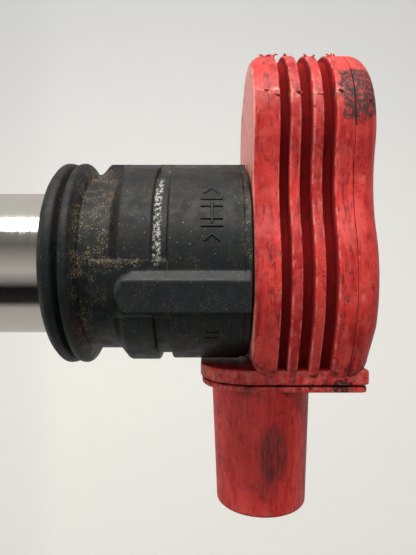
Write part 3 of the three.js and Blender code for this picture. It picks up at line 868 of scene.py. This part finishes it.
SEAL_BORE = 12.3

# Outside of the seal from its lower end up: radius, height and the round of each corner.
SEAL_PROFILE = [
    (13.4, -31.4, 0), (16.0, -31.4, 0.7), (17.1, -30.4, 0.9), (16.95, -29.3, 0.6), (15.5, -28.72, 0.2),
    (16.95, -28.2, 0.5), (17.1, -27.2, 0.7), (15.2, -26.2, 0.5), (14.6, -26.0, 0.3), (14.6, -21.5, 0.9),
    (16.5, -19.9, 0.8), (16.5, -15.2, 0.35), (15.4, -15.1, 0.25), (15.4, -13.05, 0.25), (16.3, -12.9, 0.35),
    (16.3, -2.0, 0.1), (16.05, -1.75, 0.1), (16.05, -0.8, 0.3), (14.8, -0.8, 0),
]
BAND_RADIUS = 16.3
BEAD_RADIUS = 0.2
PAD_RADIUS = 16.4
KEY_FACE = 17.7
KEY_MIDDLE = 5.0
KEY_NOSE_HALF = 2.8
KEY_NOSE_FALL = 2.4
RIDGE_RADII = (15.3, 17.0)


def key_nose(along):
    """How far the round lower end of the key falls back at a place across its width."""
    from_middle = min(abs(along - KEY_MIDDLE), KEY_NOSE_HALF) / KEY_NOSE_HALF
    return KEY_NOSE_FALL * (1 - math.sqrt(1 - from_middle ** 2 * 0.98))


def pad_share(x, y, z):
    """1 on the square pad under the key, 0 off it."""
    return bump(x, 4.05, 3.8, 0.35) * bump(z, -18.5, 5.4, 0.35) if y < 0 else 0.0


def key_share(x, y, z):
    """1 on the long key's flat face, 0 off it."""
    if y > -1:
        return 0.0
    along = KEY_FACE * x / -y
    rounding = key_nose(along)
    share = min(smoothstep(1.5, 3.0, along), 1 - smoothstep(7.35, 7.75, along))
    return share * smoothstep(-20.6 + rounding, -19.7 + rounding, z) * (1 - smoothstep(-1.2, -0.9, z))


def ridge_share(x, y, z):
    """1 on the ridge along the -X side, 0 off it."""
    return bump(y, 0, 1.9, 0.5) * smoothstep(-26.6, -26.1, z) if x < 0 else 0.0


def seal_offset(x, y, z, radius):
    """Radius of the seal once its ridge, pad and key are raised from a turned surface."""
    surface = radius
    low, high = RIDGE_RADII
    ridge_top = low + (high - low) * smoothstep(-25.4, -23.4, z)
    if ridge_top > radius:
        surface += (ridge_top - radius) * ridge_share(x, y, z)
    if radius < PAD_RADIUS:
        surface = max(surface, radius + (PAD_RADIUS - radius) * pad_share(x, y, z))
    facing = max(0.2, -y / radius)
    return surface + (KEY_FACE / facing - surface) * key_share(x, y, z)


def seal_rim_highlight(x, y, z):
    """Highest on the rims of the pad, the key and the ridge, which get a painted highlight."""
    pad, key, ridge = pad_share(x, y, z), key_share(x, y, z), ridge_share(x, y, z)
    return max(4 * pad * (1 - pad) * (1 - key), 4 * key * (1 - key), 4 * ridge * (1 - ridge))


def seal_dirt_and_painted_light(x, y, z):
    """Shares of tan dust, white chalk, a brown coating with painted side light, and the rims' painted
    highlight at a place on the seal's outside.
    """
    above_key = 1 - smoothstep(-1.0, 1.5, x)
    neck = bump(z, -24.0, 1.9, 0.9) * (0.45 + 0.55 * above_key)
    corner = bump(z, -26.1, 0.25, 0.7)
    pad_edge = bump(x, 0.4, 0.3, 1.0) * bump(z, -19, 5.0, 1.0) * (y < 0)
    head_edge = 0.5 * bump(z, -1.4, 0.3, 0.6) * above_key
    return {
        "dust": min(1.0, 0.08 + 0.5 * neck + 0.4 * corner + 0.6 * pad_edge + head_edge),
        "chalk": bump(z, -14.55, 0.35, 0.3) * above_key * smoothstep(-13.6, -12.2, x),
        # A brown coating and painted light, strongest on the -X side that faces the window.
        "film_and_side_light": 0.15 + 0.85 * smoothstep(3, -11, x),
        # Painted highlight on the rims.
        "rim": seal_rim_highlight(x, y, z),
    }


def stem_seal():
    """The seal: a turned skin with its ridge, pad and key raised from it, and a plain bore."""
    around = 420
    rings = []
    marks = {name: [] for name in ("dust", "chalk", "film_and_side_light", "rim")}
    for radius, z in resample(rounded(SEAL_PROFILE, 4), 0.3):
        ring = []
        dirt_and_light = []
        for x, y, _ in circle(radius, z, around):
            lifted = seal_offset(x, y, z, radius) / radius
            ring.append((x * lifted, y * lifted, z))
            dirt_and_light.append(seal_dirt_and_painted_light(x, y, z))
        rings.append(ring)
        for name in marks:
            marks[name].append([shares[name] for shares in dirt_and_light])
    bore = [(SEAL_BORE + 0.2, -0.8), (SEAL_BORE, -1.1), (SEAL_BORE, -10.0), (SEAL_BORE, -20.0),
            (SEAL_BORE, -30.9), (SEAL_BORE + 0.3, -31.4)]
    for radius, z in bore:
        rings.append(circle(radius, z, around))
        for name in marks:
            marks[name].append([0.1] * around)
    make_piece("stem_seal_rubber", rings, RUBBER, looped=True, sharp=50, replaces=("stem_seal",), marks=marks)


def band_strand(corners):
    """A raised bead on the seal's upper band through (x, z) corners."""
    path = resample(corners, 0.3)
    points = [(x, -math.sqrt(BAND_RADIUS ** 2 - x ** 2), z) for x, z in path]
    return strand(points, [BEAD_RADIUS] * len(points))


def seal_marks():
    """A plain raised mark on the upper band, chevrons with bars between, and two bars lower down."""
    low, high = -8.2, -5.0
    middle = (low + high) / 2
    skins = []
    for tip in (-10.9, -3.7):
        skins.append(band_strand([(tip + 0.9, low + 0.5), (tip, middle), (tip + 0.9, high - 0.5)]))
    skins += [band_strand([(x, low), (x, high)]) for x in (-9.0, -7.9, -6.0, -4.9)]
    skins += [band_strand([(-8.6, middle), (-5.3, middle)])]
    skins += [band_strand([(x, -7.6), (x, -5.6)]) for x in (10.7, 11.6)]
    make_pieces("seal_marks", skins, RUBBER, sharp=60)


stem_seal()
seal_marks()


# Stem and high-voltage end

def slit_sleeve(node, inner, outer):
    """A steel tube with a slit along its whole length."""
    half = SLIT_WIDTH / 2 / outer
    start = math.pi + SLIT_ANGLE + half
    end = start + 2 * (math.pi - half)
    outline = arc(0, 0, outer, start, end, 300) + arc(0, 0, inner, end, start, 300)
    rings = [[(x, y, z) for x, y in outline] for z in (SLEEVE_LOW.z, SLEEVE_HIGH.z)]
    make_piece(node.replace("yoke", "steel"), rings, STEEL, replaces=(node,))


def coil_tube():
    """The red case inside the sleeves, and the rib that fills their slit."""
    low, high = CASE_LOW.z, CASE_HIGH.z
    profile = [(CASE_OUTER, low), (CASE_OUTER, high), (CASE_INNER, high), (CASE_INNER, low)]
    turned("coil_tube", profile, RED, "coil_case", looped=True)
    half = SLIT_RIB_WIDTH / 2
    inner, outer = CASE_OUTER - 0.2, SLEEVES["yoke_sleeve_outer"][1] - 0.1
    turn = Matrix.Rotation(SLIT_ANGLE, 2)
    corners = [turn @ Vector(p) for p in ((-outer, half), (-outer, -half), (-inner, -half), (-inner, half))]
    rings = [[(x, y, z) for x, y in corners] for z in (SLEEVE_LOW.z + 0.3, SLEEVE_HIGH.z - 0.3)]
    make_piece("slit_rib", rings, RED)


def tower_and_boot():
    """The black tower under the case, and the soft boot with grip rings that hangs from it."""
    top, bottom = TOWER_HIGH.z, TOWER_LOW.z
    outside = [(6.3, bottom, 0.4), (6.3, -99, 0.8), (10.4, -94, 0.5), (10.4, -91.3, 0.2), (9.3, -91.3, 0.1)]
    bore = [(9.3, top, 0.4), (1.5, top, 0.3), (1.5, -92.7, 0), (4.6, -92.7, 0.3)]
    tower = [(4.6, bottom + 10, 0), (4.6, bottom, 0.3)] + outside + bore
    turned("tower_moulding", rounded(tower), BLACK, "hv_tower", looped=True)
    low, high = BOOT_LOW.z, BOOT_HIGH.z
    grips = []
    for z in (-146, -142, -138, -134):
        grips += [(9.55, z - 1.3, 0.4), (10.05, z - 0.7, 0.3), (10.05, z + 0.7, 0.3), (9.55, z + 1.3, 0.4)]
    boot = [(6.2, low, 0), (9.6, low, 0.5), (10.2, low + 1.5, 0.4), (10.2, low + 4, 0.4)]
    boot += [(9.55, low + 5.5, 0.5)] + grips + [(9.55, high - 8, 0.6)]
    boot += [(10.9, high - 6, 0.6), (10.9, high, 0.8), (8.6, high, 0.4), (6.6, -99.6, 0)]
    boot += [(6.6, -113.3, 0), (4.6, -113.3, 0), (4.6, -140.8, 0), (5.2, -141.4, 0), (5.2, low + 2.5, 0)]
    turned("boot_rubber", rounded(boot), RUBBER, "plug_boot", looped=True, steps=144)


def spring_contact():
    """The cup that meets the plug's terminal, and the coil spring behind it."""
    low, high = CONTACT_LOW.z, CONTACT_HIGH.z
    cup = [(1.0, low, 0), (3.8, low, 0.7), (3.8, high, 0.25), (3.2, high, 0.15), (3.2, high - 1.2, 0.2),
           (1.0, high - 1.2, 0)]
    turned("contact_cup", rounded(cup), TINNED, "contact_cap", steps=72, body="contact")
    radius = SPRING_HIGH.x - SPRING_WIRE
    steps = SPRING_TURNS * 36
    low, high = SPRING_LOW.z + SPRING_WIRE, SPRING_HIGH.z - SPRING_WIRE
    turns = [2 * math.pi * SPRING_TURNS * i / steps for i in range(steps + 1)]
    helix = [(radius * math.cos(a), radius * math.sin(a), low + (high - low) * i / steps)
             for i, a in enumerate(turns)]
    coil = make_piece("coil_spring", strand(helix, [SPRING_WIRE] * len(helix), 10, (0, 0, 1)), SPRING,
                      sharp=60, replaces=("contact_spring",))
    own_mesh(coil)


def terminal_pin(node):
    """A flat blade with a tapered tip, and its upturned inner end."""
    low, high = node_span(node)
    y, half, thick = (low.y + high.y) / 2, (high.y - low.y) / 2, PIN_HALF_THICKNESS
    blade = []
    for x, share in ((low.x, 1), (high.x - 2, 1), (high.x - 1, 0.8), (high.x - 0.3, 0.5), (high.x, 0.35)):
        w, t = half * share, thick * share
        blade.append([(x, y + w, SHROUD_Z - t), (x, y + w, SHROUD_Z + t), (x, y - w, SHROUD_Z + t),
                      (x, y - w, SHROUD_Z - t)])
    riser = [[(low.x + 2 * thick, y + half, z), (low.x, y + half, z), (low.x, y - half, z),
              (low.x + 2 * thick, y - half, z)] for z in (SHROUD_Z, high.z)]
    make_pieces(node.replace("terminal", "blade"), [blade, riser], TINNED, replaces=(node,))


for node, radii in SLEEVES.items():
    slit_sleeve(node, *radii)
coil_tube()
tower_and_boot()
spring_contact()
for number in range(1, 5):
    terminal_pin(f"terminal_pin_{number}")


# Stage

ROOM_RADIUS = 1000
FLOOR_GAP = 0.5
SWEEP_HALF_WIDTH = 1500
SWEEP_BACK_Y = 250
SWEEP_ROUND = 40
SWEEP_TOP = 600
WALL_TOP = 1500
KEY_LIGHT_PLACE = (-200, -110, -10)
KEY_LIGHT_SIZE = (90, 300)
KEY_LIGHT_POWER = 0.66
CAMERA_PLACE = (2.46, -80, -7.15)
CAMERA_LENS = 29.5


def area_light(name, place, target, size, power, colour):
    """A rectangular light that points from its place to a target and isn't seen by the camera."""
    data = bpy.data.lights.new(name, "AREA")
    data.shape = "RECTANGLE"
    data.size, data.size_y = size[0] * MM, size[1] * MM
    data.energy = power
    data.color = colour
    light = bpy.data.objects.new(name, data)
    light.location = Vector(place) * MM
    light.visible_camera = False
    light.rotation_mode = "QUATERNION"
    light.rotation_quaternion = (Vector(target) - Vector(place)).to_track_quat("-Z", "Y")
    bpy.context.scene.collection.objects.link(light)


def stage():
    """A pale paper sweep under and behind the object, the wall round it, and the lights."""
    bpy.context.scene.view_settings.view_transform = "Standard"
    floor_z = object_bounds()[0].z / MM - FLOOR_GAP
    bend = arc(SWEEP_BACK_Y - SWEEP_ROUND, floor_z + SWEEP_ROUND, SWEEP_ROUND, -math.pi / 2, 0, 12)
    sweep = [(-SWEEP_HALF_WIDTH, floor_z)] + bend + [(SWEEP_BACK_Y, SWEEP_TOP)]
    verts = [Vector((x, y, z)) * MM for x in (-SWEEP_HALF_WIDTH, SWEEP_HALF_WIDTH) for y, z in sweep]
    count = len(sweep)
    mesh = bpy.data.meshes.new("studio_sweep")
    mesh.from_pydata(verts, [], [(i, i + 1, count + i + 1, count + i) for i in range(count - 1)])
    mesh.shade_smooth()
    look = Look("pale_paper", Roughness=0.95)
    shade = look.range(look.along("X"), -0.22, 0.10)
    paper = look.mix(shade, (0.66, 0.665, 0.66), (0.815, 0.805, 0.77))
    look.set("Base Color", paper)
    look.set("Emission Color", paper)
    look.shader.inputs["Emission Strength"].default_value = 0.35
    mesh.materials.append(look.material)
    sweep_object = bpy.data.objects.new("studio_sweep", mesh)
    bpy.context.scene.collection.objects.link(sweep_object)
    sweep_object.visible_glossy = False
    sweep_object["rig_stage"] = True
    room_wall(floor_z)
    area_light("key", KEY_LIGHT_PLACE, (0, 0, -5), KEY_LIGHT_SIZE, KEY_LIGHT_POWER, (1.0, 0.97, 0.93))
    bpy.context.scene.world = room_light()


def room_wall(floor_z):
    """A pale wall all round that only the camera sees, so that every side has a plain backdrop."""
    rings = [circle(ROOM_RADIUS, z, 64) for z in (floor_z, WALL_TOP)]
    size = len(rings[0])
    mesh = bpy.data.meshes.new("room_wall")
    faces = [(i, (i + 1) % size, size + (i + 1) % size, size + i) for i in range(size)]
    mesh.from_pydata([Vector(p) * MM for ring in rings for p in ring], [], faces)
    mesh.shade_smooth()
    look = Look("pale_wall", Roughness=1.0)
    look.set("Base Color", (0, 0, 0))
    look.set("Emission Color", (0.76, 0.755, 0.735))
    look.set("Emission Strength", 1.0)
    mesh.materials.append(look.material)
    wall = bpy.data.objects.new("room_wall", mesh)
    bpy.context.scene.collection.objects.link(wall)
    wall.visible_glossy = False
    wall.visible_diffuse = False
    wall.visible_shadow = False
    wall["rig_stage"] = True


# Brightness of the room by direction, in degrees from -Y towards -X.
ROOM = [
    (-180, 0.50), (-103, 0.44), (-78, 0.38), (-66, 0.02), (-40, 0.006), (-28, 0.24), (-13, 0.46), (10, 0.28),
    (28, 0.13), (50, 0.22), (60, 0.9), (74, 0.9), (84, 0.6), (120, 0.56), (180, 0.52),
]


def room_light():
    """A soft room round the object: a bright window on the -X side, a dark gap on the +X side."""
    world = bpy.data.worlds.new("soft_room")
    world.use_nodes = True
    nodes, links = world.node_tree.nodes, world.node_tree.links
    place = nodes.new("ShaderNodeTexCoord").outputs["Generated"]
    parts = nodes.new("ShaderNodeSeparateXYZ")
    links.new(place, parts.inputs[0])
    angle = nodes.new("ShaderNodeMath")
    angle.operation = "ARCTAN2"
    flips = []
    for axis in ("X", "Y"):
        flip = nodes.new("ShaderNodeMath")
        flip.operation = "MULTIPLY"
        flip.inputs[1].default_value = -1
        links.new(parts.outputs[axis], flip.inputs[0])
        flips.append(flip.outputs[0])
    links.new(flips[0], angle.inputs[0])
    links.new(flips[1], angle.inputs[1])
    spread = nodes.new("ShaderNodeMapRange")
    links.new(angle.outputs[0], spread.inputs["Value"])
    spread.inputs["From Min"].default_value = -math.pi
    spread.inputs["From Max"].default_value = math.pi
    ramp = nodes.new("ShaderNodeValToRGB")
    links.new(spread.outputs["Result"], ramp.inputs["Fac"])
    peak = max(level for _, level in ROOM)
    stops = ramp.color_ramp.elements
    for index, (degrees, level) in enumerate(ROOM):
        position = (degrees + 180) / 360
        stop = stops[0] if index == 0 else stops[-1] if index == len(ROOM) - 1 else stops.new(position)
        stop.position = position
        stop.color = (level / peak, level / peak * 0.985, level / peak * 0.955, 1)
    links.new(ramp.outputs["Color"], nodes["Background"].inputs["Color"])
    nodes["Background"].inputs["Strength"].default_value = peak
    return world


def camera():
    """Looks along +Y with the stem lying across the picture: +Z to the right, -X up."""
    data = bpy.data.cameras.new("camera")
    data.lens = CAMERA_LENS
    data.sensor_width = 36
    data.clip_start = 0.002
    eye = bpy.data.objects.new("camera", data)
    axes = Matrix(((0, 0, 1), (-1, 0, 0), (0, -1, 0))).transposed()
    eye.matrix_world = Matrix.Translation(Vector(CAMERA_PLACE) * MM) @ axes.to_4x4()
    bpy.context.scene.collection.objects.link(eye)
    bpy.context.scene.camera = eye


def refinish(node, material):
    """Gives a CAD node that keeps its shape its own material."""
    piece = next(o for o in bpy.data.objects if o.get("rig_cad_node") == node)
    piece.data.materials.clear()
    piece.data.materials.append(material)


for node, material in {
    "core_stack": STEEL, "core_cushion_upper": RUBBER, "core_cushion_lower": RUBBER,
    "hv_terminal_cup": TINNED, "resistor_cap_upper": TINNED, "resistor_cap_lower": TINNED,
    "primary_winding": COPPER, "secondary_winding": COPPER, "battery_busbar": COPPER,
    "ground_busbar": COPPER, "primary_bobbin": BLACK, "secondary_bobbin": BLACK, "igniter_module": BLACK,
    "noise_capacitor": BLACK, "turn_on_diode": BLACK, "potting_layer": EPOXY,
    "igniter_heat_spreader": ALUMINIUM, "core_magnet_upper": MAGNET, "core_magnet_lower": MAGNET,
    "suppressor_resistor": CERAMIC,
}.items():
    refinish(node, material)

stage()
camera()
